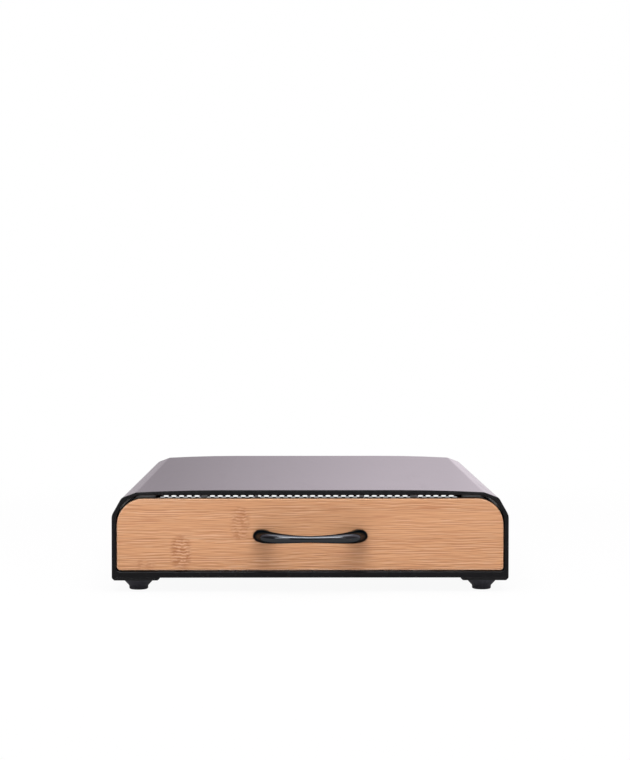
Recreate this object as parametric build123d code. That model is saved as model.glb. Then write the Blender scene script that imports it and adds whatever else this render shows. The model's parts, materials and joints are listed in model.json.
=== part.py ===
"""Coffee pod drawer: a low steel casing on four feet, with a bamboo-fronted sliding pod tray.

Millimetres. X runs across the casing, +Y to the back (the drawer opens towards -Y), Z up from the floor.
The origin is on the floor, under the middle of the whole object with its pull handle.
"""
from build123d import *
import math
import os

os.makedirs("parts", exist_ok=True)

# ---- casing ----
WIDTH = 266.0
DEPTH = 320.0
HEIGHT = 68.4
SHEET = 1.0                # thickness of the bent cover
CROWN_FLAT = 120.0         # flat width in the middle of the top
CROWN = 1.5                # fall of the top from the flat to the crease
CREASE_INSET = 16.5        # crease of the shoulder, in from the side
KNEE_INSET = 6.6           # bend between the two shoulder facets, in from the side
KNEE_DROP = 5.2            # and down from the top
SHOULDER_DROP = 17.0       # start of the upright side, down from the top
CREASE_RADIUS = 6.0
KNEE_RADIUS = 4.5
SIDE_RADIUS = 8.0
COVER_EDGE_RADIUS = 0.5    # rounding of the cover's front and rear edges

# ---- frames ----
FRAME_DEPTH = 9.0
RIM = 2.8                  # cover and frame together, seen from the front, at the sides
RIM_TOP = 3.4              # the same at the middle of the top
RAIL_HEIGHT = 4.0          # the frame below its opening
OPENING_TOP_RADIUS = 18.6
OPENING_BOTTOM_RADIUS = 3.0
FRAME_EDGE = 0.4           # bevel of the opening's outer edge

# ---- feet and corner plates ----
FOOT_HEIGHT = 7.6
FOOT_TOP_RADIUS = 11.0
FOOT_RADIUS = 6.4
FOOT_CONE_HEIGHT = 5.3
FOOT_EDGE = 0.8            # bevel of the lower edge
FOOT_INSET = 16.7          # foot centre, in from the side and from the casing's end
FOOT_HOLE_DEPTH = 4.5
PLATE_THICKNESS = 2.0
PLATE_SIZE = 32.0
PLATE_INNER_RADIUS = 12.0
PLATE_OUTER_RADIUS = 2.0
PLATE_EDGE = 1.4           # bevel of the lower edge

# ---- runners ----
RUNNER_SHEET = 1.2
RUNNER_LEG = 24.0
RUNNER_HEIGHT = 13.0
RUNNER_BEND = 2.4
STOP_TAB_WIDTH = 10.0
STOP_TAB_THICKNESS = 1.2
STOP_TAB_HEIGHT = 2.6
STOP_INSET = 23.7          # rear face of the stop tab, behind the casing's front

# ---- drawer ----
FRONT_THICKNESS = 10.0
FRONT_RECESS = 0.5         # board behind the casing's front plane
FRONT_SIDE_GAP = 0.6
FRONT_TOP_GAP = 2.4
FRONT_BOTTOM_GAP = 0.9     # board and tray over the rail
FRONT_TOP_RADIUS = 17.8
FRONT_BOTTOM_RADIUS = 2.4
FRONT_EDGE_RADIUS = 0.8

# ---- tray ----
TRAY_SHEET = 0.8
TRAY_SIDE_GAP = 2.8        # tray wall to the frame's opening
TRAY_WALL_HEIGHT = 37.0
TRAY_BEND = 2.4
TRAY_REAR_GAP = 14.0       # tray to the casing's rear
HEM_HEIGHT = 2.4
LANE_COUNT = 6
DIVIDER_SHEET = 0.8
DIVIDER_HEIGHT = 28.0
DIVIDER_FLANGE = 4.0
DIVIDER_CORNER_RADIUS = 9.0
DIVIDER_FRONT_GAP = 6.0
DIVIDER_REAR_GAP = 1.0
MESH_SHEET = 0.8
MESH_PITCH = 12.8
MESH_ROW = 2.7
MESH_GAP_WIDTH = 9.6
MESH_GAP_HEIGHT = 3.6
MESH_BORDER = 1.5
MESH_FRAME_WIDTH = 3.2
MESH_FRAME_DEPTH = 2.4
MESH_LIP = 1.4             # how far the mesh sits in the frame's rebate

# ---- glides ----
GLIDE_WIDTH = 10.0
FRONT_GLIDE_INSET = 45.5   # front glide centre, in from the casing's side
FRONT_GLIDE_DEPTH = 10.0
REAR_GLIDE_INSET = 13.0    # rear glide centre, in from the casing's side
REAR_GLIDE_DEPTH = 22.0
REAR_GLIDE_SETBACK = 10.0  # rear end of the glide, in from the tray's rear
GLIDE_CLEARANCE = 0.2
GLIDE_PIN_RADIUS = 2.0
GLIDE_EDGE_RADIUS = 1.0

# ---- pull handle ----
PULL_HOLE_SPACING = 64.0
PULL_PAD = 13.0            # width of each end pad on the board
PULL_REACH = 24.0
PULL_THICKNESS = 5.2       # depth of the bow in the middle
PULL_END_HEIGHT = 9.0
PULL_MIDDLE_HEIGHT = 4.6
PULL_Z = 37.7
PULL_TAPER = 1.6           # how soon the bow thins away from its pads
PULL_STATIONS = 25         # sections along the bow
PULL_HOLE_DEPTH = 6.5

# ---- screws ----
MACHINE_SCREW = 4.0
MACHINE_HEAD = 7.4
MACHINE_HEAD_HEIGHT = 2.2
WOOD_SCREW = 3.0
WOOD_HEAD = 5.8
WOOD_HEAD_HEIGHT = 1.8
WOOD_SCREW_DEPTH = 7.0
WOOD_SCREW_INSET = 23.0
WOOD_SCREW_MARGIN = 9.0
HEAD_EDGE = 0.7            # bevel of a screw's head
SCREW_CLEARANCE = 0.05     # around a shank in its thread
HOLE_CLEARANCE = 0.25      # around a shank in a plain hole
CUT = 1.0                  # how far a cut runs on past a face

# ---- places worked out from the sizes ----
FRONT_Y = (PULL_REACH - FRONT_RECESS) / 2 - DEPTH / 2
REAR_Y = FRONT_Y + DEPTH
SIDE_X = WIDTH / 2
BASE_Z = FOOT_HEIGHT + PLATE_THICKNESS
OPENING_X = SIDE_X - RIM
OPENING_BOTTOM_Z = BASE_Z + RAIL_HEIGHT
OPENING_TOP_Z = HEIGHT - RIM_TOP
BOARD_Y = FRONT_Y + FRONT_RECESS
BOARD_BACK_Y = BOARD_Y + FRONT_THICKNESS
BOARD_X = OPENING_X - FRONT_SIDE_GAP
BOARD_BOTTOM_Z = OPENING_BOTTOM_Z + FRONT_BOTTOM_GAP
BOARD_TOP_Z = OPENING_TOP_Z - FRONT_TOP_GAP
TRAY_X = OPENING_X - TRAY_SIDE_GAP
TRAY_BOTTOM_Z = BOARD_BOTTOM_Z
TRAY_FLOOR_Z = TRAY_BOTTOM_Z + TRAY_SHEET
TRAY_TOP_Z = TRAY_BOTTOM_Z + TRAY_WALL_HEIGHT
TRAY_REAR_Y = REAR_Y - TRAY_REAR_GAP
TRAY_INNER_X = TRAY_X - TRAY_SHEET
RUNNER_TOP_Z = BASE_Z + RUNNER_SHEET
RUNNER_X = SIDE_X - SHEET
FOOT_X = SIDE_X - FOOT_INSET
GLIDE_REAR_Y = TRAY_REAR_Y - REAR_GLIDE_SETBACK
GLIDE_FRONT_Y = GLIDE_REAR_Y - REAR_GLIDE_DEPTH
REAR_GLIDE_X = SIDE_X - REAR_GLIDE_INSET
FRONT_GLIDE_X = SIDE_X - FRONT_GLIDE_INSET
STOP_Y = FRONT_Y + STOP_INSET
SCREW_HOLE = MACHINE_SCREW / 2 + HOLE_CLEARANCE
PULL_SCREW_X = PULL_HOLE_SPACING / 2
WOOD_SCREW_SPOTS = [(x, z) for x in (-(TRAY_X - WOOD_SCREW_INSET), TRAY_X - WOOD_SCREW_INSET)
                    for z in (TRAY_FLOOR_Z + WOOD_SCREW_MARGIN, TRAY_TOP_Z - WOOD_SCREW_MARGIN)]


def along_y(face, y_from, y_to):
    """Extrude a face drawn in X and Z from one depth to another."""
    return extrude(Plane.XZ.offset(-y_from) * face, amount=y_to - y_from, dir=(0, 1, 0))


def block(x_from, x_to, y_from, y_to, z_from, z_to):
    """A box between two corners."""
    size = (x_to - x_from, y_to - y_from, z_to - z_from)
    middle = ((x_from + x_to) / 2, (y_from + y_to) / 2, (z_from + z_to) / 2)
    return Pos(*middle) * Box(*size)


def rod_y(x, z, radius, y_from, y_to):
    """A round bar along Y."""
    return along_y(Pos(x, z) * Circle(radius), y_from, y_to)


def rod_z(x, y, radius, z_from, z_to):
    """A round bar along Z."""
    return Pos(x, y, z_from) * extrude(Circle(radius), amount=z_to - z_from)


def round_panel(half_width, bottom, top, bottom_radius, top_radius):
    """An upright panel's face with small bottom corners and large top ones."""
    face = Pos(0, (bottom + top) / 2) * Rectangle(2 * half_width, top - bottom)
    rows = face.vertices().group_by(Axis.Y)
    face = fillet(rows[-1], top_radius)
    low = face.vertices().group_by(Axis.Y)[0]
    return fillet(low, bottom_radius)


# ---- casing pieces ----
def casing_face():
    """The casing's outer outline, run on below its base so that insets stay open there."""
    low = BASE_Z - HEIGHT / 2
    crease = (SIDE_X - CREASE_INSET, HEIGHT - CROWN)
    knee = (SIDE_X - KNEE_INSET, HEIGHT - KNEE_DROP)
    shoulder = (SIDE_X, HEIGHT - SHOULDER_DROP)
    flat_end = (CROWN_FLAT / 2, HEIGHT)
    edges = [
        Line((0, low), (0, HEIGHT)),
        Line((0, HEIGHT), flat_end),
        TangentArc(flat_end, crease, tangent=(1, 0)),
        Line(crease, knee),
        Line(knee, shoulder),
        Line(shoulder, (SIDE_X, low)),
        Line((SIDE_X, low), (0, low)),
    ]
    half = make_face(Curve() + edges)
    for spot, radius in ((crease, CREASE_RADIUS), (knee, KNEE_RADIUS), (shoulder, SIDE_RADIUS)):
        corner = half.vertices().sort_by_distance((*spot, 0))[0]
        half = fillet(corner, radius)
    return half + mirror(half, about=Plane.YZ)


def below_base():
    """Everything below the casing's lower edge, as a face."""
    return Pos(0, BASE_Z - HEIGHT) * Rectangle(2 * WIDTH, 2 * HEIGHT)


OUTLINE = casing_face()
INSIDE = offset(OUTLINE, amount=-SHEET, kind=Kind.INTERSECTION)


def make_cover_shell():
    """The bent cover: crowned top, two-facet shoulders, upright sides, open below and at both ends."""
    solid = along_y(OUTLINE, FRONT_Y, REAR_Y)
    ends = solid.faces().filter_by(Axis.Y)
    solid = fillet(ends.edges(), COVER_EDGE_RADIUS)
    solid -= along_y(INSIDE, FRONT_Y - CUT, REAR_Y + CUT)
    return solid - along_y(below_base(), FRONT_Y - CUT, REAR_Y + CUT)


def make_frame(y_from, y_to, face_y):
    """A flat frame that fills the cover's end round the opening, with eased edges on its outer face."""
    opening = round_panel(OPENING_X, OPENING_BOTTOM_Z, OPENING_TOP_Z,
                          OPENING_BOTTOM_RADIUS, OPENING_TOP_RADIUS)
    solid = along_y(INSIDE - below_base() - opening, y_from, y_to)
    rim = solid.faces().filter_by(Axis.Y).sort_by(lambda face: abs(face.center().Y - face_y))[0]
    return chamfer(rim.inner_wires()[0].edges(), FRAME_EDGE)


def make_runner(side):
    """An L-section runner with a turned-up stop tab; side is -1 on the left and 1 on the right."""
    outer = RUNNER_X
    profile = Polyline((outer, BASE_Z), (outer, BASE_Z + RUNNER_HEIGHT),
                       (outer - RUNNER_SHEET, BASE_Z + RUNNER_HEIGHT),
                       (outer - RUNNER_SHEET, RUNNER_TOP_Z),
                       (outer - RUNNER_LEG, RUNNER_TOP_Z), (outer - RUNNER_LEG, BASE_Z), close=True)
    face = make_face(profile)
    for spot, radius in (((outer, BASE_Z), RUNNER_BEND),
                         ((outer - RUNNER_SHEET, RUNNER_TOP_Z), RUNNER_BEND - RUNNER_SHEET)):
        face = fillet(face.vertices().sort_by_distance((*spot, 0))[0], radius)
    solid = along_y(face, FRONT_Y + FRAME_DEPTH, REAR_Y - FRAME_DEPTH)
    solid += block(REAR_GLIDE_X - STOP_TAB_WIDTH / 2, REAR_GLIDE_X + STOP_TAB_WIDTH / 2,
                   STOP_Y - STOP_TAB_THICKNESS, STOP_Y, BASE_Z, RUNNER_TOP_Z + STOP_TAB_HEIGHT)
    for y in (FRONT_Y + FOOT_INSET, REAR_Y - FOOT_INSET):
        solid -= rod_z(FOOT_X, y, SCREW_HOLE, BASE_Z - CUT, RUNNER_TOP_Z + CUT)
    return solid if side > 0 else mirror(solid, about=Plane.YZ)


def make_corner_plate(side, y_end, inward):
    """A square plate under one corner, round at its inner corner, bevelled below, drilled for the foot's screw."""
    corner = (side * SIDE_X, y_end)
    middle = (corner[0] - side * PLATE_SIZE / 2, corner[1] + inward * PLATE_SIZE / 2)
    face = Pos(*middle) * Rectangle(PLATE_SIZE, PLATE_SIZE)
    inner = face.vertices().sort_by_distance((0, 0, 0))[0]
    face = fillet(inner, PLATE_INNER_RADIUS)
    outer = face.vertices().sort_by_distance((*corner, 0))[0]
    face = fillet(outer, PLATE_OUTER_RADIUS)
    solid = Pos(0, 0, FOOT_HEIGHT) * extrude(face, amount=PLATE_THICKNESS)
    solid = chamfer(solid.edges().group_by(Axis.Z)[0], PLATE_EDGE)
    return solid - rod_z(side * FOOT_X, y_end + inward * FOOT_INSET, SCREW_HOLE,
                         FOOT_HEIGHT - CUT, BASE_Z + CUT)


def make_foot(x, y):
    """A rubber foot: a cone down to a short cylinder with a bevelled lower edge."""
    profile = Polyline((0, 0), (FOOT_RADIUS, 0), (FOOT_RADIUS, FOOT_HEIGHT - FOOT_CONE_HEIGHT),
                       (FOOT_TOP_RADIUS, FOOT_HEIGHT), (0, FOOT_HEIGHT), close=True)
    face = make_face(profile)
    face = chamfer(face.vertices().sort_by_distance((FOOT_RADIUS, 0, 0))[0], FOOT_EDGE)
    solid = revolve(Plane.XZ * face, axis=Axis.Z)
    solid -= rod_z(0, 0, MACHINE_SCREW / 2 + SCREW_CLEARANCE,
                   FOOT_HEIGHT - FOOT_HOLE_DEPTH, FOOT_HEIGHT + CUT)
    return Pos(x, y, 0) * solid


def make_screw(shank, length, head, head_height):
    """A pan-head screw along +Z with its head's underside at z = 0."""
    pan = extrude(Circle(head / 2), amount=head_height)
    pan = chamfer(pan.edges().group_by(Axis.Z)[-1], HEAD_EDGE)
    return pan + Pos(0, 0, -length) * extrude(Circle(shank / 2), amount=length)


def make_front_glide(side):
    """A plastic block behind the rail that the tray's floor slides on."""
    x = side * FRONT_GLIDE_X
    y_from = FRONT_Y + FRAME_DEPTH
    solid = block(x - GLIDE_WIDTH / 2, x + GLIDE_WIDTH / 2, y_from, y_from + FRONT_GLIDE_DEPTH,
                  BASE_Z, TRAY_BOTTOM_Z - GLIDE_CLEARANCE)
    return fillet(solid.edges().filter_by(Axis.Y).group_by(Axis.Z)[-1], GLIDE_EDGE_RADIUS)


# ---- drawer pieces ----
def make_drawer_front():
    """The bamboo board, eased all round its face, drilled for the handle and the tray."""
    face = round_panel(BOARD_X, BOARD_BOTTOM_Z, BOARD_TOP_Z, FRONT_BOTTOM_RADIUS, FRONT_TOP_RADIUS)
    solid = along_y(face, BOARD_Y, BOARD_BACK_Y)
    solid = fillet(solid.faces().sort_by(Axis.Y)[0].edges(), FRONT_EDGE_RADIUS)
    for x in (-PULL_SCREW_X, PULL_SCREW_X):
        solid -= rod_y(x, PULL_Z, SCREW_HOLE, BOARD_Y - CUT, BOARD_BACK_Y + CUT)
    for x, z in WOOD_SCREW_SPOTS:
        solid -= rod_y(x, z, WOOD_SCREW / 2 + SCREW_CLEARANCE,
                       BOARD_BACK_Y - WOOD_SCREW_DEPTH - SCREW_CLEARANCE, BOARD_BACK_Y + CUT)
    return solid


def make_pull_handle():
    """The bow: an oval bar along half an ellipse in plan, thick at both pads and thin in the middle."""
    reach = PULL_REACH - PULL_THICKNESS / 2
    sections = []
    for station in range(PULL_STATIONS):
        turn = math.pi * station / (PULL_STATIONS - 1)
        spot = (-PULL_SCREW_X * math.cos(turn), BOARD_Y - reach * math.sin(turn), PULL_Z)
        along = (PULL_SCREW_X * math.sin(turn), -reach * math.cos(turn), 0)
        across = (-along[1], along[0], 0)
        near_end = abs(math.cos(turn)) ** PULL_TAPER
        depth = PULL_THICKNESS + (PULL_PAD - PULL_THICKNESS) * near_end
        height = PULL_MIDDLE_HEIGHT + (PULL_END_HEIGHT - PULL_MIDDLE_HEIGHT) * near_end
        sections.append(Plane(origin=spot, x_dir=across, z_dir=along) * Ellipse(depth / 2, height / 2))
    bow = loft(sections, ruled=True)
    for x in (-PULL_SCREW_X, PULL_SCREW_X):
        bow -= rod_y(x, PULL_Z, MACHINE_SCREW / 2 + SCREW_CLEARANCE, BOARD_Y - PULL_HOLE_DEPTH, BOARD_Y + CUT)
    return bow


def make_tray_pan():
    """Floor, two hemmed sides and front upstand, folded from one sheet."""
    x = TRAY_X
    top = TRAY_TOP_Z
    hem = x + TRAY_SHEET
    right = [(0, TRAY_BOTTOM_Z), (x, TRAY_BOTTOM_Z), (x, top - HEM_HEIGHT), (hem, top - HEM_HEIGHT),
             (hem, top), (x - TRAY_SHEET, top), (x - TRAY_SHEET, TRAY_FLOOR_Z), (0, TRAY_FLOOR_Z)]
    face = make_face(Polyline(*right, close=True))
    for spot, radius in (((x, TRAY_BOTTOM_Z), TRAY_BEND),
                         ((x - TRAY_SHEET, TRAY_FLOOR_Z), TRAY_BEND - TRAY_SHEET)):
        face = fillet(face.vertices().sort_by_distance((*spot, 0))[0], radius)
    section = face + mirror(face, about=Plane.YZ)
    solid = along_y(section, BOARD_BACK_Y, TRAY_REAR_Y)
    solid += block(-TRAY_X + TRAY_BEND, TRAY_X - TRAY_BEND, BOARD_BACK_Y, BOARD_BACK_Y + TRAY_SHEET,
                   TRAY_BOTTOM_Z, TRAY_TOP_Z)
    solid += block(-TRAY_X, TRAY_X, BOARD_BACK_Y, BOARD_BACK_Y + TRAY_SHEET,
                   TRAY_BOTTOM_Z + TRAY_BEND, TRAY_TOP_Z)
    for px in (-PULL_SCREW_X, PULL_SCREW_X):
        solid -= rod_y(px, PULL_Z, SCREW_HOLE, BOARD_BACK_Y - CUT, BOARD_BACK_Y + TRAY_SHEET + CUT)
    for px, pz in WOOD_SCREW_SPOTS:
        solid -= rod_y(px, pz, WOOD_SCREW / 2 + HOLE_CLEARANCE, BOARD_BACK_Y - CUT,
                       BOARD_BACK_Y + TRAY_SHEET + CUT)
    for side in (-1, 1):
        solid -= rod_z(side * REAR_GLIDE_X, (GLIDE_FRONT_Y + GLIDE_REAR_Y) / 2,
                       GLIDE_PIN_RADIUS + HOLE_CLEARANCE, TRAY_BOTTOM_Z - CUT, TRAY_FLOOR_Z + CUT)
    return solid


def make_rear_glide(side):
    """A plastic pad under the tray's rear corner, with a pin in the tray's floor."""
    x = side * REAR_GLIDE_X
    solid = block(x - GLIDE_WIDTH / 2, x + GLIDE_WIDTH / 2, GLIDE_FRONT_Y, GLIDE_REAR_Y,
                  RUNNER_TOP_Z + GLIDE_CLEARANCE, TRAY_BOTTOM_Z)
    solid = fillet(solid.edges().filter_by(Axis.X).group_by(Axis.Z)[0], GLIDE_EDGE_RADIUS)
    return solid + rod_z(x, (GLIDE_FRONT_Y + GLIDE_REAR_Y) / 2, GLIDE_PIN_RADIUS,
                         TRAY_BOTTOM_Z, TRAY_FLOOR_Z)


MESH_X = TRAY_INNER_X - MESH_FRAME_WIDTH + MESH_LIP
MESH_BOTTOM_Z = TRAY_FLOOR_Z + MESH_FRAME_WIDTH - MESH_LIP
MESH_TOP_Z = TRAY_TOP_Z - MESH_FRAME_WIDTH + MESH_LIP
MESH_FRONT_Y = TRAY_REAR_Y - MESH_FRAME_DEPTH


def make_tray_rear_mesh():
    """Expanded metal: one sheet with staggered rows of diamond gaps."""
    width = 2 * MESH_X
    height = MESH_TOP_Z - MESH_BOTTOM_Z
    middle_z = (MESH_TOP_Z + MESH_BOTTOM_Z) / 2
    columns = int((width - 2 * MESH_LIP - 2 * MESH_BORDER - MESH_GAP_WIDTH) / MESH_PITCH)
    rows = int((height - 2 * MESH_LIP - 2 * MESH_BORDER - MESH_GAP_HEIGHT) / MESH_ROW) + 1
    gap = make_face(Polyline((-MESH_GAP_WIDTH / 2, 0), (0, -MESH_GAP_HEIGHT / 2),
                             (MESH_GAP_WIDTH / 2, 0), (0, MESH_GAP_HEIGHT / 2), close=True))
    spots = []
    for row in range(rows):
        z = middle_z + (row - (rows - 1) / 2) * MESH_ROW
        count = columns + 1 - row % 2
        spots += [((column - (count - 1) / 2) * MESH_PITCH, z) for column in range(count)]
    sheet = Pos(0, middle_z) * Rectangle(width, height)
    sheet -= [Pos(*spot) * gap for spot in spots]
    return along_y(sheet, MESH_FRONT_Y, MESH_FRONT_Y + MESH_SHEET)


def make_mesh_frame():
    """The frame round the mesh, with a rebate that holds the mesh's edge."""
    middle_z = (TRAY_FLOOR_Z + TRAY_TOP_Z) / 2
    outer = Rectangle(2 * TRAY_INNER_X, TRAY_TOP_Z - TRAY_FLOOR_Z)
    hole = Rectangle(2 * (TRAY_INNER_X - MESH_FRAME_WIDTH), TRAY_TOP_Z - TRAY_FLOOR_Z - 2 * MESH_FRAME_WIDTH)
    bend = TRAY_BEND - TRAY_SHEET
    outer = fillet(outer.vertices().group_by(Axis.Y)[0], bend)
    solid = along_y(Pos(0, middle_z) * (outer - hole), MESH_FRONT_Y, TRAY_REAR_Y)
    rebate = Pos(0, middle_z) * Rectangle(2 * MESH_X, MESH_TOP_Z - MESH_BOTTOM_Z)
    return solid - along_y(rebate, MESH_FRONT_Y - CUT, MESH_FRONT_Y + MESH_SHEET)


def make_lane_divider(number):
    """An upright sheet on a small flange, with rounded top corners."""
    lane = (2 * TRAY_INNER_X + DIVIDER_SHEET) / LANE_COUNT
    x = -TRAY_INNER_X - DIVIDER_SHEET / 2 + number * lane
    y_from = BOARD_BACK_Y + TRAY_SHEET + DIVIDER_FRONT_GAP
    y_to = MESH_FRONT_Y - DIVIDER_REAR_GAP
    z_middle = TRAY_FLOOR_Z + DIVIDER_HEIGHT / 2
    sheet = Pos((y_from + y_to) / 2, z_middle) * Rectangle(y_to - y_from, DIVIDER_HEIGHT)
    sheet = fillet(sheet.vertices().group_by(Axis.Y)[-1], DIVIDER_CORNER_RADIUS)
    wall = extrude(Plane.YZ.offset(x - DIVIDER_SHEET / 2) * sheet, amount=DIVIDER_SHEET)
    return wall + block(x - DIVIDER_SHEET / 2, x + DIVIDER_FLANGE, y_from, y_to,
                        TRAY_FLOOR_Z, TRAY_FLOOR_Z + DIVIDER_SHEET)


def save(name, *solids):
    """Write one piece, or a group of like fasteners, to its own file."""
    shape = solids[0] if len(solids) == 1 else Compound(children=list(solids))
    export_step(shape, f"parts/{name}.step")


save("cover_shell", make_cover_shell())
save("front_frame", make_frame(FRONT_Y, FRONT_Y + FRAME_DEPTH, FRONT_Y))
save("rear_frame", make_frame(REAR_Y - FRAME_DEPTH, REAR_Y, REAR_Y))

foot_screws = []
for end_name, end_y, inward in (("front", FRONT_Y, 1), ("rear", REAR_Y, -1)):
    for side_name, side in (("left", -1), ("right", 1)):
        corner = f"{end_name}_{side_name}"
        foot_y = end_y + inward * FOOT_INSET
        save(f"{corner}_corner_plate", make_corner_plate(side, end_y, inward))
        save(f"{corner}_foot", make_foot(side * FOOT_X, foot_y))
        screw = make_screw(MACHINE_SCREW, RUNNER_TOP_Z - FOOT_HEIGHT + FOOT_HOLE_DEPTH,
                           MACHINE_HEAD, MACHINE_HEAD_HEIGHT)
        foot_screws.append(Pos(side * FOOT_X, foot_y, RUNNER_TOP_Z) * screw)
save("foot_screws", *foot_screws)

for side_name, side in (("left", -1), ("right", 1)):
    save(f"{side_name}_runner", make_runner(side))
    save(f"{side_name}_front_glide", make_front_glide(side))
    save(f"{side_name}_rear_glide", make_rear_glide(side))

save("drawer_front", make_drawer_front())
save("pull_handle", make_pull_handle())
save("tray_pan", make_tray_pan())
save("tray_rear_mesh", make_tray_rear_mesh())
save("mesh_frame", make_mesh_frame())
for number in range(1, LANE_COUNT):
    save(f"lane_divider_{number}", make_lane_divider(number))

head_y = BOARD_BACK_Y + TRAY_SHEET
towards_front = Rot(-90, 0, 0)
pull_screw = towards_front * make_screw(MACHINE_SCREW, TRAY_SHEET + FRONT_THICKNESS + PULL_HOLE_DEPTH,
                                        MACHINE_HEAD, MACHINE_HEAD_HEIGHT)
save("handle_screws", *[Pos(x, head_y, PULL_Z) * pull_screw for x in (-PULL_SCREW_X, PULL_SCREW_X)])
wood_screw = towards_front * make_screw(WOOD_SCREW, TRAY_SHEET + WOOD_SCREW_DEPTH, WOOD_HEAD, WOOD_HEAD_HEIGHT)
save("front_screws", *[Pos(x, head_y, z) * wood_screw for x, z in WOOD_SCREW_SPOTS])
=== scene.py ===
"""Looks of the coffee pod drawer: finishes, a fine rear mesh, a smooth pull handle, feet and screws.

Metres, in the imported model's own frame: X across, +Y to the back, Z up from the floor.
"""

import json
import math

import bmesh
import bpy
import numpy as np
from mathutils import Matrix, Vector


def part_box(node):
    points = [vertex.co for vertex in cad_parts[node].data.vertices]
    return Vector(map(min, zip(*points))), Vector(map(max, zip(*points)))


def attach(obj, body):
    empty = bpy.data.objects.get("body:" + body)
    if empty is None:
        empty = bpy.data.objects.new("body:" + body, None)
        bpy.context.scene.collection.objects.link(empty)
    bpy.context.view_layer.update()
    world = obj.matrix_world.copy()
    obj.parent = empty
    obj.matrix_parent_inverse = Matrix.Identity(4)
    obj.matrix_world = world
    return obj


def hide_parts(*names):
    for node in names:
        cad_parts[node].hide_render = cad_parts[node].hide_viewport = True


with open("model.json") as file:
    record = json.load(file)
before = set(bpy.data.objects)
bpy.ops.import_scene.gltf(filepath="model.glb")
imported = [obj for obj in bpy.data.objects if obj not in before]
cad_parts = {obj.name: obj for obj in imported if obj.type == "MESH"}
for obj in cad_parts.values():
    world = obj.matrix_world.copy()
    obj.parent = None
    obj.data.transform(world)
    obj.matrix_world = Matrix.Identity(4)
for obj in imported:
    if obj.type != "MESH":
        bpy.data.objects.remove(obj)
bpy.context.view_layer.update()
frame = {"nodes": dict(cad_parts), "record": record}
MM = 0.001

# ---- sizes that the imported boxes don't give ----
PULL_PAD = 13.0 * MM                    # depth of the bow where it meets the board
PULL_MIDDLE = (5.2 * MM, 4.6 * MM)      # its depth and height in the middle
PULL_TAPER = 1.6                        # power of |cos| by which it thins towards the middle
FOOT_CONE = 5.3 * MM                    # height of the cone
FOOT_RADIUS = 6.4 * MM                  # of the straight side
FOOT_EDGE = 1.0 * MM                    # rounding of the lower edge
MESH_PITCH = 6.4 * MM                   # width of one diamond
MESH_ROW = 2.72 * MM                    # height of one diamond
MESH_GAP = (2.15 * MM, 0.70 * MM)       # half width and half height of one gap
MESH_GAP_POWER = 2.6                    # of the gap's oval: 2 is an ellipse, more is squarer
MACHINE_HEAD = (7.4 * MM, 2.2 * MM)     # width and height of a screw's head
WOOD_HEAD = (5.8 * MM, 1.8 * MM)
MACHINE_SHANK = 4.0 * MM
WOOD_SHANK = 3.0 * MM

# ---- steps of the new meshes ----
PULL_STEPS = (129, 48)                  # along the bow and around it
FOOT_STEPS = 72
SCREW_STEPS = (26, 64)                  # rings of a head, and around it
GAP_STEPS = 12                          # a multiple of 4, for the half and quarter diamonds

# ---- camera, from the photograph's vanishing point and scale ----
PHOTO_WIDTH = 630
PHOTO_HEIGHT = 760
FOCAL_PIXELS = 1882.0
VANISHING_X = 302.5
VANISHING_Y = 320.65
CAMERA_DISTANCE = 1.256                 # from the casing's front
CAMERA_X = -0.0052
CAMERA_HEIGHT = 0.1817
CAMERA_CLIP = (0.02, 50)
SENSOR = 36.0                           # millimetres

# ---- white floor; each row is low, high, level at low, level at high of a ramp ----
FLOOR_HALF = 6.0
FLOOR_SEEN = (0.25, 0.80, 0.94, 1.0)    # by distance: how far the white hides the paper and its shadow
FLOOR_MIRRORED = (0.35, 1.2, 0.43, 1.0)     # by distance: strength of the white off the camera's rays
FLOOR_PAPER = ((0.64, 0.64, 0.64, 1), (0.68, 0.68, 0.68, 1))

# ---- world off the camera's rays, by a direction's parts; rows as above ----
WORLD_BEHIND = (-0.30, 0.45, 0.14, 1.0)     # by y: dim in front, full behind
WORLD_ACROSS = (-0.13, 0.15, 0.345, 0.75)   # by x: darker on the left
WORLD_OUTWARD = (0.080, 0.135, 1.0, 1.55)   # by |x|: lift that the shoulder facets mirror
WORLD_UPWARD = (0.074, 0.094, 1.0, 1.55)    # by z: lift that the front of the top mirrors
WORLD_OVERHEAD = (0.35, 0.95, 0.0, 0.25)    # by z: added towards the zenith
WORLD_MIRRORED = (0.0, 0.6, 0.0, 0.03)      # by y: added for glossy and transmission rays
WORLD_TINT = (1.0, 0.89, 0.98, 1)

# ---- lamps: name, place, aim, size, power in watts ----
LAMPS = (
    ("box_over_front", (0.0, -0.54, 1.06), (0, -0.15, 0.03), (1.2, 0.36), 12.0),
    ("box_overhead", (0.0, 0.04, 1.15), (0, -0.10, 0.03), (1.4, 0.56), 4.0),
    ("front_left_soft", (-1.1, -1.6, 0.95), (0, -0.15, 0.03), (0.9, 0.9), 4.8),
    ("front_right_soft", (1.1, -1.6, 0.95), (0, -0.15, 0.03), (0.9, 0.9), 1.4),
)


# ======== meshes ========
def put_mesh(name, points, faces, closed=True, smooth_below=35.0):
    """Makes an object from points and faces; a closed one gets outward normals."""
    mesh = bpy.data.meshes.new(name)
    mesh.from_pydata(np.asarray(points, dtype=float).tolist(), [], faces)
    mesh.validate()
    if closed:
        work = bmesh.new()
        work.from_mesh(mesh)
        bmesh.ops.remove_doubles(work, verts=work.verts, dist=1e-7)
        bmesh.ops.recalc_face_normals(work, faces=work.faces)
        work.to_mesh(mesh)
        work.free()
    piece = bpy.data.objects.new(name, mesh)
    bpy.context.scene.collection.objects.link(piece)
    mesh.shade_smooth()
    mesh.set_sharp_from_angle(angle=math.radians(smooth_below))
    return piece


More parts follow.
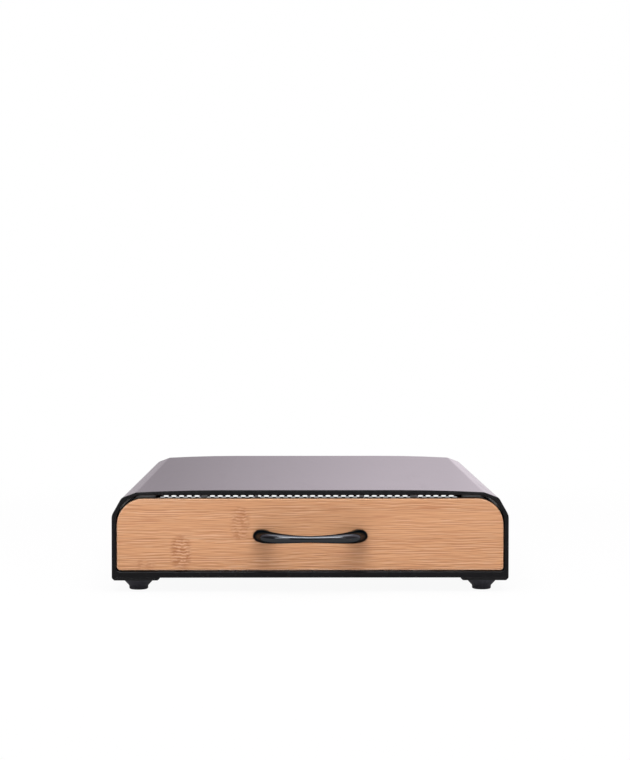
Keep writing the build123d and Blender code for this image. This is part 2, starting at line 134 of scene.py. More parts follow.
def grid_faces(rows, columns):
    """Quads of a grid that closes on itself along its columns."""
    row, column = np.meshgrid(np.arange(rows - 1), np.arange(columns), indexing="ij")
    after = (column + 1) % columns
    quads = np.stack([row * columns + column, row * columns + after,
                      (row + 1) * columns + after, (row + 1) * columns + column], axis=-1)
    return quads.reshape(-1, 4)


def turned(profile, around):
    """A profile of (radius, height) turned about Z; its first and last points lie on the axis."""
    radius, height = np.array(profile[1:-1]).T
    angle = np.linspace(0, 2 * math.pi, around, endpoint=False)
    ring = np.stack([np.outer(radius, np.cos(angle)), np.outer(radius, np.sin(angle)),
                     np.repeat(height[:, None], around, axis=1)], axis=-1).reshape(-1, 3)
    rows = len(radius)
    points = np.vstack([ring, [[0, 0, profile[0][1]], [0, 0, profile[-1][1]]]])
    column = np.arange(around)
    after = (column + 1) % around
    last = (rows - 1) * around
    low_fan = np.stack([np.full(around, rows * around), after, column], axis=-1)
    high_fan = np.stack([np.full(around, rows * around + 1), last + column, last + after], axis=-1)
    return points, grid_faces(rows, around).tolist() + low_fan.tolist() + high_fan.tolist()


def joined(parts):
    """Several (points, faces) put into one pair."""
    points, faces, first = [], [], 0
    for some_points, some_faces in parts:
        points.append(np.asarray(some_points))
        faces += [[index + first for index in face] for face in some_faces]
        first += len(some_points)
    return np.vstack(points), faces


def dressed(piece, node, material, also=()):
    """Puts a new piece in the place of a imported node, on the same body and slot."""
    piece.data.materials.append(material)
    body = next(name for name, nodes in frame["record"]["behaviour"]["bodies"].items() if node in nodes)
    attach(piece, body)
    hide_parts(node, *also)
    return piece


def arc(centre, radius, start, end, steps):
    """Points of a round arc in (radius, height), angles in degrees."""
    angle = np.radians(np.linspace(start, end, steps))
    return [(centre[0] + radius * math.cos(a), centre[1] + radius * math.sin(a)) for a in angle]


def make_pull_handle(material):
    """The bow. At angle t, from 0 to pi, the bar's middle lies at (-a cos t, front - r sin t), and its
    oval section is pad-sized times |cos t| to the taper's power, plus the middle size for the rest."""
    low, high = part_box("pull_handle")
    front = high[1]
    middle_z = (low[2] + high[2]) / 2
    half = (high[0] - low[0] - PULL_PAD) / 2
    reach = high[1] - low[1] - PULL_MIDDLE[0] / 2
    end_height = high[2] - low[2]
    stations, around = PULL_STEPS
    turn = np.linspace(0, math.pi, stations)
    spot = np.stack([-half * np.cos(turn), front - reach * np.sin(turn), np.full(stations, middle_z)], axis=-1)
    along = np.stack([half * np.sin(turn), -reach * np.cos(turn)], axis=-1)
    along /= np.linalg.norm(along, axis=1, keepdims=True)
    across = np.stack([-along[:, 1], along[:, 0], np.zeros(stations)], axis=-1)
    near_end = np.abs(np.cos(turn)) ** PULL_TAPER
    depth = PULL_MIDDLE[0] + (PULL_PAD - PULL_MIDDLE[0]) * near_end
    height = PULL_MIDDLE[1] + (end_height - PULL_MIDDLE[1]) * near_end
    round_angle = np.linspace(0, 2 * math.pi, around, endpoint=False)
    points = (spot[:, None, :] + across[:, None, :] * (depth[:, None] / 2 * np.cos(round_angle))[..., None]
              + np.array([0, 0, 1.0]) * (height[:, None] / 2 * np.sin(round_angle))[..., None])
    faces = grid_faces(stations, around).tolist()
    faces.append(list(range(around)))
    faces.append(list(range((stations - 1) * around, stations * around)))
    points = points.reshape(-1, 3)
    points[:, 1] = np.minimum(points[:, 1], front)
    return dressed(put_mesh("pull_bow", points, faces), "pull_handle", material)


def make_foot(corner, material):
    """A turned rubber foot: a shallow dish below, a rounded lower edge, a short straight side, and a cone
    that flares to the plate."""
    low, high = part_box(f"{corner}_foot")
    middle = ((low[0] + high[0]) / 2, (low[1] + high[1]) / 2)
    top = high[2]
    wide = (high[0] - low[0]) / 2
    neck = top - FOOT_CONE
    profile = [(0, 0.35 * MM), (2.6 * MM, 0.35 * MM), (3.0 * MM, 0), (FOOT_RADIUS - FOOT_EDGE - 0.1 * MM, 0)]
    profile += arc((FOOT_RADIUS - FOOT_EDGE, FOOT_EDGE), FOOT_EDGE, -90, 0, 9)
    profile += [(FOOT_RADIUS, neck - 0.35 * MM), (FOOT_RADIUS + 0.06 * MM, neck),
                (FOOT_RADIUS + 0.26 * MM, neck + 0.34 * MM)]
    profile += [(wide - 0.55 * MM, top - 0.85 * MM), (wide - 0.12 * MM, top - 0.5 * MM)]
    profile += [(wide, top - 0.3 * MM), (wide, top - 0.12 * MM), (wide - 0.12 * MM, top), (0, top)]
    points, faces = turned(profile, FOOT_STEPS)
    points = points + np.array([middle[0], middle[1], 0])
    return dressed(put_mesh(f"{corner}_rubber_foot", points, faces), f"{corner}_foot", material)


def screw_shape(head, shank, length):
    """A pan-head screw along +Z, underside of its head at 0. The head's top is a low dome,
    head height times (1 - 0.25 (r/R)^4), less a cross recess cut by distance to two crossed bars."""
    width, height = head
    outer = width / 2
    rings, around = SCREW_STEPS
    radius = np.linspace(0.02, 1.0, rings) * outer
    angle = np.linspace(0, 2 * math.pi, around, endpoint=False)
    x, y = np.outer(radius, np.cos(angle)), np.outer(radius, np.sin(angle))
    dome = height * (1 - 0.25 * (radius / outer) ** 4)[:, None]
    narrow = np.minimum(np.abs(x), np.abs(y))
    far = np.maximum(np.abs(x), np.abs(y))
    inside = (np.clip((0.07 * width - narrow) / (0.03 * width), 0, 1)
              * np.clip((0.27 * width - far) / (0.05 * width), 0, 1))
    z = dome - 0.5 * height * inside
    top = np.stack([x, y, z], axis=-1).reshape(-1, 3)
    skirt = []
    for scale, level in ((1.0, 0.15 * height), (0.97, 0.0), (shank / width, 0.0),
                         (shank / width, -length + 0.3 * MM), (0.8 * shank / width, -length)):
        skirt.append(np.stack([outer * scale * np.cos(angle), outer * scale * np.sin(angle),
                               np.full(around, level)], axis=-1))
    points = np.vstack([top] + skirt)
    rows = rings + len(skirt)
    faces = grid_faces(rows, around).tolist()
    faces.append(list(range(around)))
    faces.append(list(range((rows - 1) * around, rows * around)))
    return points, faces


def make_screws(node, name, head, shank, spots, facing, length, material):
    """One piece with a screw at each spot; facing says which way the heads look."""
    points, faces = screw_shape(head, shank, length)
    if facing == "back":
        points = np.stack([points[:, 0], points[:, 2], -points[:, 1]], axis=-1)
    screws = [(points + np.array(spot), faces) for spot in spots]
    return dressed(put_mesh(name, *joined(screws)), node, material)


def all_screws(material):
    """The foot screws look up, the handle's and the board's look to the back."""
    low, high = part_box("foot_screws")
    edge = MACHINE_HEAD[0] / 2
    under = high[2] - MACHINE_HEAD[1]
    spots = [(x, y, under) for x in (low[0] + edge, high[0] - edge) for y in (low[1] + edge, high[1] - edge)]
    make_screws("foot_screws", "foot_pan_screws", MACHINE_HEAD, MACHINE_SHANK, spots, "up",
                under - low[2], material)
    low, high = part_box("handle_screws")
    middle = (low[2] + high[2]) / 2
    under = high[1] - MACHINE_HEAD[1]
    spots = [(x, under, middle) for x in (low[0] + edge, high[0] - edge)]
    make_screws("handle_screws", "handle_pan_screws", MACHINE_HEAD, MACHINE_SHANK, spots, "back",
                under - low[1], material)
    low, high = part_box("front_screws")
    edge = WOOD_HEAD[0] / 2
    under = high[1] - WOOD_HEAD[1]
    spots = [(x, under, z) for x in (low[0] + edge, high[0] - edge) for z in (low[2] + edge, high[2] - edge)]
    make_screws("front_screws", "board_wood_screws", WOOD_HEAD, WOOD_SHANK, spots, "back",
                under - low[1], material)


def make_rear_mesh(material):
    """Expanded metal. Diamond cells tile the sheet in two staggered lattices; in each, the strand runs
    from the diamond |x|/a + |z|/b = 1 in to the gap, an oval of the gap's power. Half diamonds along the
    edges, and quarters in the corners, stay solid."""
    low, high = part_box("tray_rear_mesh")
    columns = round((high[0] - low[0]) / MESH_PITCH)
    rows = round((high[2] - low[2]) / MESH_ROW)
    half_x = (high[0] - low[0]) / columns / 2
    half_z = (high[2] - low[2]) / rows / 2
    around = GAP_STEPS
    angle = np.arange(around) * 2 * math.pi / around
    cos, sin = np.cos(angle).round(12), np.sin(angle).round(12)
    edge = 1 / (np.abs(cos) + np.abs(sin))
    outer = np.stack([half_x * cos * edge, half_z * sin * edge], axis=-1)
    power = 2 / MESH_GAP_POWER
    inner = np.stack([MESH_GAP[0] * np.sign(cos) * np.abs(cos) ** power,
                      MESH_GAP[1] * np.sign(sin) * np.abs(sin) ** power], axis=-1)
    even = [(low[0] + half_x * (2 * i + 1), low[2] + half_z * (2 * j + 1))
            for i in range(columns) for j in range(rows)]
    odd = [(low[0] + half_x * 2 * i, low[2] + half_z * 2 * j)
           for i in range(1, columns) for j in range(1, rows)]
    loops = ((outer, low[1]), (inner, low[1]), (inner, high[1]), (outer, high[1]))
    cell = np.vstack([np.column_stack([loop[:, 0], np.full(around, y), loop[:, 1]]) for loop, y in loops])
    centres = np.array(even + odd)
    moves = np.column_stack([centres[:, 0], np.zeros(len(centres)), centres[:, 1]])
    points = cell[None, :, :] + moves[:, None, :]
    faces = grid_faces(4, around)[None, :, :] + (np.arange(len(centres)) * len(cell))[:, None, None]
    parts = [(points.reshape(-1, 3), faces.reshape(-1, 4).tolist())]
    quarter = around // 4
    rim = [(low[0], low[2] + half_z * 2 * j, -quarter, 2 * quarter) for j in range(1, rows)]
    rim += [(high[0], low[2] + half_z * 2 * j, quarter, 2 * quarter) for j in range(1, rows)]
    rim += [(low[0] + half_x * 2 * i, low[2], 0, 2 * quarter) for i in range(1, columns)]
    rim += [(low[0] + half_x * 2 * i, high[2], 2 * quarter, 2 * quarter) for i in range(1, columns)]
    rim += [(low[0], low[2], 0, quarter), (high[0], low[2], quarter, quarter),
            (high[0], high[2], 2 * quarter, quarter), (low[0], high[2], 3 * quarter, quarter)]
    for x, z, first, count in rim:
        bent = outer[(first + np.arange(count + 1)) % around] + (x, z)
        loop = np.vstack([bent, [(x, z)]]) if count == quarter else bent
        size = len(loop)
        both = np.vstack([np.column_stack([loop[:, 0], np.full(size, y), loop[:, 1]])
                          for y in (low[1], high[1])])
        walls = [[size - 1, 0, size, 2 * size - 1]]
        if count == quarter:
            walls.append([size - 2, size - 1, 2 * size - 1, 2 * size - 2])
        parts.append((both, [list(range(size)), list(range(2 * size - 1, size - 1, -1))] + walls))
    piece = put_mesh("rear_expanded_mesh", *joined(parts), smooth_below=40.0)
    return dressed(piece, "tray_rear_mesh", material)


# ======== material building blocks ========
def new_group(name, inputs, outputs):
    """A shader node group with named sockets; each entry is (name, kind, default)."""
    tree = bpy.data.node_groups.new(name, "ShaderNodeTree")
    for label, kind, default in inputs:
        socket = tree.interface.new_socket(label, in_out="INPUT", socket_type="NodeSocket" + kind)
        if default is not None:
            socket.default_value = default
    for label, kind in outputs:
        tree.interface.new_socket(label, in_out="OUTPUT", socket_type="NodeSocket" + kind)
    return tree


def add(tree, kind, values=None, **settings):
    """Adds a node; values are put in or linked to its inputs by name or number."""
    made = tree.nodes.new(kind)
    for key, value in settings.items():
        setattr(made, key, value)
    for key, value in (values or {}).items():
        if isinstance(value, bpy.types.NodeSocket):
            tree.links.new(value, made.inputs[key])
        else:
            made.inputs[key].default_value = value
    return made


def math_node(tree, operation, first, second=0.5, third=None, clamp=False):
    """A maths node's output."""
    values = {0: first, 1: second}
    if third is not None:
        values[2] = third
    return add(tree, "ShaderNodeMath", values, operation=operation, use_clamp=clamp).outputs[0]


def noise(tree, where, scale, detail=2.0, roughness=0.5):
    """A noise texture's value."""
    return add(tree, "ShaderNodeTexNoise", {"Vector": where, "Scale": scale, "Detail": detail,
                                            "Roughness": roughness}).outputs["Fac"]


def mapped(tree, where, scale=(1, 1, 1), move=(0, 0, 0)):
    """Coordinates stretched and moved."""
    return add(tree, "ShaderNodeMapping", {"Vector": where, "Scale": scale, "Location": move}).outputs[0]


def ramp(tree, value, low, high, to_low=0.0, to_high=1.0):
    """Value from low..high to to_low..to_high, smooth at both ends."""
    return add(tree, "ShaderNodeMapRange", {0: value, 1: low, 2: high, 3: to_low, 4: to_high},
               interpolation_type="SMOOTHSTEP").outputs[0]


def mix_colour(tree, amount, first, second):
    """A colour mixed from two."""
    return add(tree, "ShaderNodeMix", {0: amount, 6: first, 7: second}, data_type="RGBA").outputs[2]


def object_place(tree):
    """Object coordinates, which are the model's own metres."""
    return add(tree, "ShaderNodeTexCoord").outputs["Object"]


def paint_group():
    """Sprayed coat: orange peel, a fine grain, soft wipe marks and sparse dust. Gives a roughness, a
    normal and a mask of dust and marks."""
    tree = new_group("sprayed_coat",
                     [("Peel Size", "Float", 260.0), ("Peel", "Float", 0.1), ("Grain", "Float", 0.1),
                      ("Smooth", "Float", 0.2), ("Dull", "Float", 0.35), ("Edge", "Float", 0.0004)],
                     [("Roughness", "Float"), ("Normal", "Vector"), ("Marks", "Float"), ("Wear", "Float")])
    come = tree.nodes.new("NodeGroupInput")
    go = tree.nodes.new("NodeGroupOutput")
    where = object_place(tree)
    peel = noise(tree, where, come.outputs["Peel Size"], 2.0)
    grain = noise(tree, where, 4200.0, 1.0)
    height = math_node(tree, "MULTIPLY_ADD", grain, 0.25, peel)
    rounded = add(tree, "ShaderNodeBevel", {"Radius": come.outputs["Edge"]}, samples=4)
    first = add(tree, "ShaderNodeBump", {"Strength": come.outputs["Peel"], "Distance": 0.0004, "Height": peel,
                                         "Normal": rounded.outputs[0]})
    second = add(tree, "ShaderNodeBump", {"Strength": come.outputs["Grain"], "Distance": 0.00006,
                                          "Height": height, "Normal": first.outputs[0]})
    cloud = ramp(tree, noise(tree, mapped(tree, where, (1, 0.5, 1)), 14.0, 4.0, 0.6), 0.38, 0.66)
    wipe = ramp(tree, noise(tree, mapped(tree, where, (70, 6, 70)), 1.0, 3.0, 0.65), 0.5, 0.72)
    speck = ramp(tree, noise(tree, where, 900.0, 0.0), 0.76, 0.82)
    marks = math_node(tree, "MULTIPLY", cloud, math_node(tree, "MULTIPLY_ADD", wipe, 0.6, 0.25), clamp=True)
    marks = math_node(tree, "MAXIMUM", marks, math_node(tree, "MULTIPLY", speck, 0.8))
    rough = add(tree, "ShaderNodeMapRange", {0: marks, 3: come.outputs["Smooth"], 4: come.outputs["Dull"]})
    geometry = add(tree, "ShaderNodeNewGeometry")
    wide = add(tree, "ShaderNodeBevel", {"Radius": 0.0007}, samples=4)
    turn = add(tree, "ShaderNodeVectorMath", {0: wide.outputs[0], 1: geometry.outputs["Normal"]},
               operation="DOT_PRODUCT").outputs["Value"]
    edge = ramp(tree, turn, 0.98, 0.8)
    wear = math_node(tree, "MULTIPLY", edge, ramp(tree, noise(tree, where, 260.0, 3.0, 0.7), 0.45, 0.7))
    tree.links.new(rough.outputs[0], go.inputs["Roughness"])
    tree.links.new(second.outputs[0], go.inputs["Normal"])
    tree.links.new(marks, go.inputs["Marks"])
    tree.links.new(wear, go.inputs["Wear"])
    return tree


def new_material(name):
    """An empty material and its shader."""
    material = bpy.data.materials.new(name)
    material.use_nodes = True
    tree = material.node_tree
    tree.nodes.clear()
    shader = add(tree, "ShaderNodeBsdfPrincipled")
    out = add(tree, "ShaderNodeOutputMaterial")
    tree.links.new(shader.outputs[0], out.inputs[0])
    return material, tree, shader


def coat(name, group, colour, marks_colour, wear_colour, *, smooth, dull, peel, grain, specular,
         peel_size=260.0, metallic=0.0, edge_tint=(1, 1, 1)):
    """A sprayed finish: its colour is greyed a little where dust and marks lie, and on worn edges.
    smooth and dull are the roughness of clean and of marked places."""
    material, tree, shader = new_material(name)
    use = add(tree, "ShaderNodeGroup", node_tree=group)
    for key, value in (("Peel Size", peel_size), ("Peel", peel), ("Grain", grain),
                       ("Smooth", smooth), ("Dull", dull)):
        use.inputs[key].default_value = value
    marked = mix_colour(tree, use.outputs["Marks"], (*colour, 1), (*marks_colour, 1))
    worn = mix_colour(tree, use.outputs["Wear"], marked, (*wear_colour, 1))
    tree.links.new(worn, shader.inputs["Base Color"])
    tree.links.new(use.outputs["Roughness"], shader.inputs["Roughness"])
    tree.links.new(use.outputs["Normal"], shader.inputs["Normal"])
    shader.inputs["Specular IOR Level"].default_value = specular
    shader.inputs["Metallic"].default_value = metallic
    shader.inputs["Specular Tint"].default_value = (*edge_tint, 1)
    return material


# ======== bamboo ========
NODE_MARKS = (      # x, z, half width, half height, strength of the culm's joint marks on the board
    (-0.0867, 0.0266, 0.0062, 0.0108, 1.0),
    (-0.0470, 0.0460, 0.0058, 0.0108, 0.72),
    (-0.1105, 0.0185, 0.0062, 0.0036, 0.50),
)
WOOD_PALE = (0.720, 0.384, 0.198, 1)
WOOD_MID = (0.620, 0.314, 0.150, 1)
WOOD_RED = (0.440, 0.180, 0.068, 1)
WOOD_DARK = (0.270, 0.108, 0.045, 1)
WOOD_ROOT = (0.440, 0.150, 0.055, 1)
WOOD_CREAM = (0.765, 0.492, 0.310, 1)
# painted highlight: pale cream laid along the board's arrises in place of the light that catches its top edge
ARRIS_HIGHLIGHT = (0.880, 0.700, 0.520, 1)
MARK_DARK = (0.350, 0.125, 0.048, 1)
MARK_PALE = (0.800, 0.520, 0.330, 1)
MARK_WAVE = 0.34 * MM
STRIP_HEIGHT = 19.0 * MM
STRIP_START = 2.0 * MM
ARRIS_RADIUS = 0.9 * MM
# cells of each noise in one metre along X, Y and Z
WANDER_CELLS = (16, 16, 60)
FIBRE_CELLS = (46, 60, 1400)
THREAD_CELLS = (20, 40, 900)
MEDIUM_CELLS = (13, 30, 460)
GROUP_CELLS = (9, 12, 130)
BLOTCH_CELLS = (42, 12, 110)
BROAD_CELLS = (7, 12, 60)
FIBRE_STEP = (0, 0, 0.9)                # in cells, between the two noises that make a fibre


def joint_marks(tree, where):
    """Masks of the culm's joints, each a soft upright oval: its reddened ground, then dark and pale waves
    sin(z / 0.34 mm + 9 noise) that lie across it, broken up by a second noise."""
    part = add(tree, "ShaderNodeSeparateXYZ", {0: where})
    sway = noise(tree, mapped(tree, where, (170, 1, 110)), 1.0, 2.0)
    phase = math_node(tree, "MULTIPLY_ADD", sway, 9.0, math_node(tree, "DIVIDE", part.outputs[2], MARK_WAVE))
    wave = math_node(tree, "SINE", phase)
    broken = noise(tree, mapped(tree, where, (260, 1, 260), (2.2, 0, 1.1)), 1.0, 2.0)
    total = None
    for x, z, half_x, half_z, strength in NODE_MARKS:
        dx = math_node(tree, "DIVIDE", math_node(tree, "SUBTRACT", part.outputs[0], x), half_x)
        dz = math_node(tree, "DIVIDE", math_node(tree, "SUBTRACT", part.outputs[2], z), half_z)
        far = math_node(tree, "ADD", math_node(tree, "POWER", math_node(tree, "ABSOLUTE", dx), 2.0),
                        math_node(tree, "POWER", math_node(tree, "ABSOLUTE", dz), 3.0))
        mark = math_node(tree, "MULTIPLY", ramp(tree, far, 1.8, 0.3), strength)
        total = mark if total is None else math_node(tree, "MAXIMUM", total, mark)
    dark = math_node(tree, "MULTIPLY", total, math_node(tree, "MULTIPLY", ramp(tree, wave, 0.0, 0.9),
                                                        ramp(tree, broken, 0.36, 0.56)))
    pale = math_node(tree, "MULTIPLY", total, math_node(tree, "MULTIPLY", ramp(tree, wave, 0.0, -0.9),
                                                        ramp(tree, broken, 0.60, 0.42)))
    return total, dark, pale


def bamboo():
    """Lacquered bamboo: strips 19 mm high, each a little different, with fine fibres along X. A fibre is
    a stretched noise less the same noise 0.64 mm away, which leaves only its thin streaks. A broad noise
    makes them strong and weak by turns."""
    material, tree, shader = new_material("bamboo_lacquer")
    where = object_place(tree)
    part = add(tree, "ShaderNodeSeparateXYZ", {0: where})
    strips = math_node(tree, "DIVIDE", math_node(tree, "ADD", part.outputs[2], STRIP_START), STRIP_HEIGHT)
    strip = math_node(tree, "FLOOR", strips)
    tone = add(tree, "ShaderNodeTexWhiteNoise", {"W": strip}, noise_dimensions="1D").outputs["Value"]
    shift = add(tree, "ShaderNodeCombineXYZ", {0: math_node(tree, "MULTIPLY", tone, 3.7)})
    moved = add(tree, "ShaderNodeVectorMath", {0: where, 1: shift.outputs[0]}, operation="ADD").outputs[0]
    wander = noise(tree, mapped(tree, moved, WANDER_CELLS), 1.0, 2.0)
    bend = add(tree, "ShaderNodeCombineXYZ", {2: math_node(tree, "MULTIPLY_ADD", wander, 0.0010, -0.0005)})
    flow = add(tree, "ShaderNodeVectorMath", {0: moved, 1: bend.outputs[0]}, operation="ADD").outputs[0]
    upper = noise(tree, mapped(tree, flow, FIBRE_CELLS), 1.0, 1.5, 0.6)
    lower = noise(tree, mapped(tree, flow, FIBRE_CELLS, FIBRE_STEP), 1.0, 1.5, 0.6)
    group = noise(tree, mapped(tree, moved, GROUP_CELLS, (2.6, 0, 8.3)), 1.0, 2.0)
    group = ramp(tree, group, 0.35, 0.65, 0.36, 0.86)
    fibre = math_node(tree, "MULTIPLY_ADD", math_node(tree, "SUBTRACT", upper, lower), group, 0.5)
    thread = noise(tree, mapped(tree, flow, THREAD_CELLS, (3.1, 0, 7.7)), 1.0, 1.0)
    medium = noise(tree, mapped(tree, flow, MEDIUM_CELLS, (1.3, 0, 2.9)), 1.0, 2.0, 0.5)
    broad = noise(tree, mapped(tree, flow, BROAD_CELLS, (5.9, 0, 0.7)), 1.0, 2.0, 0.5)
    blotch = noise(tree, mapped(tree, moved, BLOTCH_CELLS, (0.4, 0, 4.2)), 1.0, 3.0, 0.6)
    base = mix_colour(tree, ramp(tree, broad, 0.34, 0.66, 0.28, 0.68), WOOD_MID, WOOD_PALE)
    base = mix_colour(tree, math_node(tree, "MULTIPLY", ramp(tree, blotch, 0.50, 0.72), 0.10), base, WOOD_RED)
    base = mix_colour(tree, math_node(tree, "MULTIPLY", ramp(tree, medium, 0.46, 0.68), 0.06), base, WOOD_RED)
    base = mix_colour(tree, math_node(tree, "MULTIPLY", ramp(tree, fibre, 0.49, 0.60), 0.68), base, WOOD_RED)
    base = mix_colour(tree, math_node(tree, "MULTIPLY", ramp(tree, fibre, 0.47, 0.37), 0.70), base, WOOD_CREAM)
    base = mix_colour(tree, math_node(tree, "MULTIPLY", ramp(tree, thread, 0.64, 0.72), 0.50), base, WOOD_ROOT)
    base = mix_colour(tree, math_node(tree, "MULTIPLY", tone, 0.14), base, WOOD_PALE)
    ground, dark, light = joint_marks(tree, where)
    base = mix_colour(tree, math_node(tree, "MULTIPLY", ground, 0.50), base, WOOD_RED)
    base = mix_colour(tree, math_node(tree, "MULTIPLY", dark, 0.80), base, MARK_DARK)
    base = mix_colour(tree, math_node(tree, "MULTIPLY", light, 0.72), base, MARK_PALE)
    seam = math_node(tree, "FRACT", strips)
    seam = ramp(tree, math_node(tree, "ABSOLUTE", math_node(tree, "SUBTRACT", seam, 0.5)), 0.482, 0.5)
    base = mix_colour(tree, math_node(tree, "MULTIPLY", seam, 0.30), base, WOOD_DARK)
    # Painted highlight: near each arris the colour goes to a pale cream, wherever the rounded normal turns
    # away from the flat one. It stands in for the light that catches the board's top edge.
    arris = add(tree, "ShaderNodeBevel", {"Radius": ARRIS_RADIUS}, samples=6)
    plain = add(tree, "ShaderNodeNewGeometry").outputs["Normal"]
    turn = add(tree, "ShaderNodeVectorMath", {0: arris.outputs[0], 1: plain},
               operation="DOT_PRODUCT").outputs["Value"]
    base = mix_colour(tree, math_node(tree, "MULTIPLY", ramp(tree, turn, 0.998, 0.95), 0.95), base, ARRIS_HIGHLIGHT)
    tree.links.new(base, shader.inputs["Base Color"])
    dull = math_node(tree, "MULTIPLY_ADD", medium, 0.18, 0.34)
    tree.links.new(dull, shader.inputs["Roughness"])
    relief = math_node(tree, "MULTIPLY_ADD", medium, 0.5, fibre)
    relief = math_node(tree, "SUBTRACT", relief, math_node(tree, "MULTIPLY_ADD", seam, 1.2, dark))
    bump = add(tree, "ShaderNodeBump", {"Strength": 0.05, "Distance": 0.0003, "Height": relief,
                                        "Normal": arris.outputs[0]})
    tree.links.new(bump.outputs[0], shader.inputs["Normal"])
    shader.inputs["Specular IOR Level"].default_value = 0.35
    return material


def rubber(group):
    """Moulded rubber: matt, finely pitted and a little dusty."""
    return coat("foot_rubber", group, (0.030, 0.030, 0.040), (0.064, 0.064, 0.076), (0.042, 0.042, 0.050),
                smooth=0.55, dull=0.75, peel=0.10, grain=0.5, specular=0.30, peel_size=700.0)


def zinc():
    """Bright zinc on the screws, cloudy and a little scratched."""
    material, tree, shader = new_material("zinc_screws")
    where = object_place(tree)
    cloud = ramp(tree, noise(tree, where, 600.0, 3.0, 0.6), 0.35, 0.65)
    scratch = noise(tree, mapped(tree, where, (9000, 400, 400)), 1.0, 1.0)
    base = mix_colour(tree, cloud, (0.62, 0.62, 0.64, 1), (0.46, 0.46, 0.49, 1))
    tree.links.new(base, shader.inputs["Base Color"])
    tree.links.new(math_node(tree, "MULTIPLY_ADD", cloud, 0.15, 0.25), shader.inputs["Roughness"])
    shader.inputs["Metallic"].default_value = 1.0
    bump = add(tree, "ShaderNodeBump", {"Strength": 0.15, "Distance": 0.00005, "Height": scratch})
    tree.links.new(bump.outputs[0], shader.inputs["Normal"])
    return material


# ======== stage, lamps and camera ========
def make_floor():
    """Pale paper for the light, hidden by white for camera, glossy and transmission rays. Near the object
    a little of the paper shows through and holds the shadow, and mirrors see the white dimmed."""
    size = FLOOR_HALF
    points = [(-size, -size, 0), (size, -size, 0), (size, size, 0), (-size, size, 0)]
    floor = put_mesh("studio_floor", points, [(0, 1, 2, 3)], closed=False)
    material = bpy.data.materials.new("studio_floor")
    material.use_nodes = True
    tree = material.node_tree
    tree.nodes.clear()
    path = add(tree, "ShaderNodeLightPath")
    seen = math_node(tree, "MAXIMUM", path.outputs["Is Camera Ray"], path.outputs["Is Glossy Ray"])
    seen = math_node(tree, "MAXIMUM", seen, path.outputs["Is Transmission Ray"])
    where = object_place(tree)
    distance = add(tree, "ShaderNodeVectorMath", {0: where}, operation="LENGTH").outputs["Value"]
    far = ramp(tree, distance, *FLOOR_SEEN)
    paper = add(tree, "ShaderNodeBsdfDiffuse")
    grain = noise(tree, where, 300.0, 3.0)
    tree.links.new(mix_colour(tree, grain, *FLOOR_PAPER), paper.inputs[0])
    mirrored = ramp(tree, distance, *FLOOR_MIRRORED)
    strength = math_node(tree, "MAXIMUM", path.outputs["Is Camera Ray"], mirrored)
    glow = add(tree, "ShaderNodeEmission", {"Color": (1, 1, 1, 1), "Strength": strength})
    mixed = add(tree, "ShaderNodeMixShader", {0: math_node(tree, "MULTIPLY", seen, far), 1: paper.outputs[0],
                                              2: glow.outputs[0]})
    out = add(tree, "ShaderNodeOutputMaterial")
    tree.links.new(mixed.outputs[0], out.inputs[0])
    floor.data.materials.append(material)


def make_world():
    """White to the camera. To all other rays it is grey: behind times across times the two lifts, plus
    overhead, plus the mirrored level, and 1 at most. So it is bright behind and on the right, and dim in
    front and on the left."""
    world = bpy.data.worlds.new("studio")
    bpy.context.scene.world = world
    world.use_nodes = True
    tree = world.node_tree
    tree.nodes.clear()
    part = add(tree, "ShaderNodeSeparateXYZ", {0: add(tree, "ShaderNodeTexCoord").outputs["Generated"]})
    behind = ramp(tree, part.outputs[1], *WORLD_BEHIND)
    across = ramp(tree, part.outputs[0], *WORLD_ACROSS)
    outward = ramp(tree, math_node(tree, "ABSOLUTE", part.outputs[0]), *WORLD_OUTWARD)
    upward = ramp(tree, part.outputs[2], *WORLD_UPWARD)
    overhead = ramp(tree, part.outputs[2], *WORLD_OVERHEAD)
    across = math_node(tree, "MULTIPLY", across, math_node(tree, "MULTIPLY", outward, upward))
    level = math_node(tree, "MULTIPLY_ADD", behind, across, overhead)
    path = add(tree, "ShaderNodeLightPath")
    mirrored = math_node(tree, "MAXIMUM", path.outputs["Is Glossy Ray"], path.outputs["Is Transmission Ray"])
    mirrored = math_node(tree, "MULTIPLY", mirrored, ramp(tree, part.outputs[1], *WORLD_MIRRORED))
    level = math_node(tree, "MINIMUM", math_node(tree, "ADD", level, mirrored), 1.0)
    strength = add(tree, "ShaderNodeMix", {0: path.outputs["Is Camera Ray"], 2: level, 3: 1.0})
    tint = mix_colour(tree, path.outputs["Is Camera Ray"], WORLD_TINT, (1, 1, 1, 1))
    glow = add(tree, "ShaderNodeBackground", {"Color": tint, "Strength": strength.outputs[0]})
    out = add(tree, "ShaderNodeOutputWorld")
    tree.links.new(glow.outputs[0], out.inputs[0])


def make_lamp(name, place, aim, size, power):
    """A rectangular soft lamp that looks at a point."""
    lamp = bpy.data.lights.new(name, "AREA")
    lamp.shape = "RECTANGLE"
    lamp.size, lamp.size_y = size
    lamp.energy = power
    holder = bpy.data.objects.new(name, lamp)
    bpy.context.scene.collection.objects.link(holder)
    holder.location = place
    towards = Vector(aim) - Vector(place)
    holder.rotation_euler = towards.to_track_quat("-Z", "Y").to_euler()


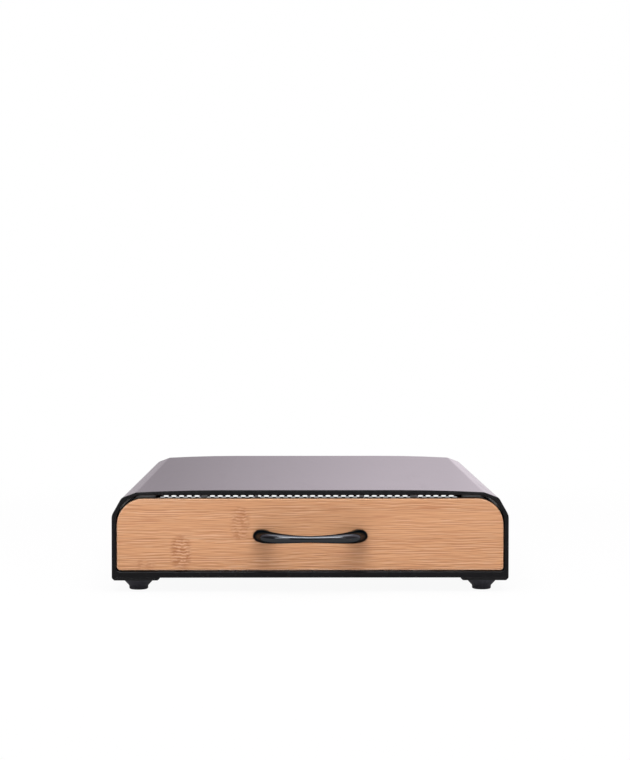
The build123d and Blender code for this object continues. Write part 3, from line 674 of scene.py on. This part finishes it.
def make_camera():
    """The photograph's view: distance, height and aim from its vanishing point."""
    camera = bpy.data.cameras.new("photo_camera")
    camera.sensor_width = SENSOR
    camera.lens = FOCAL_PIXELS * SENSOR / PHOTO_HEIGHT
    holder = bpy.data.objects.new("photo_camera", camera)
    bpy.context.scene.collection.objects.link(holder)
    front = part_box("cover_shell")[0][1]
    holder.location = (CAMERA_X, front - CAMERA_DISTANCE, CAMERA_HEIGHT)
    pitch = math.atan((PHOTO_HEIGHT / 2 - VANISHING_Y) / FOCAL_PIXELS)
    yaw = math.atan((PHOTO_WIDTH / 2 - VANISHING_X) / FOCAL_PIXELS)
    holder.rotation_euler = (math.pi / 2 - pitch, 0, -yaw)
    camera.clip_start, camera.clip_end = CAMERA_CLIP
    bpy.context.scene.camera = holder


# ======== the object ========
make_camera()
spray = paint_group()
cover_coat = coat("cover_black", spray,
                  (0.0060, 0.0056, 0.0064), (0.010, 0.0096, 0.0106), (0.018, 0.018, 0.020),
                  smooth=0.10, dull=0.16, peel=0.035, grain=0.06, specular=0.22)
frame_coat = coat("frame_black", spray,
                  (0.0062, 0.0062, 0.0070), (0.0100, 0.0100, 0.0110), (0.016, 0.016, 0.018),
                  smooth=0.26, dull=0.38, peel=0.08, grain=0.22, specular=0.18)
tray_coat = coat("tray_black", spray,
                 (0.0075, 0.0075, 0.0081), (0.013, 0.013, 0.014), (0.022, 0.022, 0.024),
                 smooth=0.34, dull=0.50, peel=0.12, grain=0.40, specular=0.30)
mesh_coat = coat("mesh_black", spray,
                 (0.0065, 0.0065, 0.0070), (0.011, 0.011, 0.012), (0.020, 0.020, 0.022),
                 smooth=0.30, dull=0.45, peel=0.12, grain=0.30, specular=0.25)
handle_coat = coat("handle_black", spray,
                   (0.074, 0.078, 0.084), (0.084, 0.088, 0.093), (0.11, 0.11, 0.11),
                   smooth=0.08, dull=0.13, peel=0.015, grain=0.02, specular=0.5,
                   metallic=1.0, edge_tint=(0.22, 0.27, 0.32))
glide_plastic = coat("glide_plastic", spray,
                     (0.020, 0.020, 0.021), (0.030, 0.030, 0.031), (0.035, 0.035, 0.036),
                     smooth=0.45, dull=0.62, peel=0.15, grain=0.5, specular=0.4, peel_size=500.0)
foot_rubber = rubber(spray)
screw_zinc = zinc()
board_bamboo = bamboo()

SLOT_MATERIALS = {
    "cover_paint": cover_coat, "frame_paint": frame_coat, "tray_paint": tray_coat, "mesh_paint": mesh_coat,
    "bamboo": board_bamboo, "handle_gloss": handle_coat, "foot_rubber": foot_rubber,
    "screw_steel": screw_zinc, "glide_plastic": glide_plastic,
}
for row in frame["record"]["subparts"]:
    node = frame["nodes"][row["node"]]
    node.data.materials.clear()
    node.data.materials.append(SLOT_MATERIALS[row["material_slot"]])

make_pull_handle(handle_coat)
for end in ("front", "rear"):
    for side in ("left", "right"):
        make_foot(f"{end}_{side}", foot_rubber)
all_screws(screw_zinc)
make_rear_mesh(mesh_coat)

make_floor()
make_world()
for lamp_row in LAMPS:
    make_lamp(*lamp_row)

bpy.context.scene.view_settings.view_transform = "Standard"
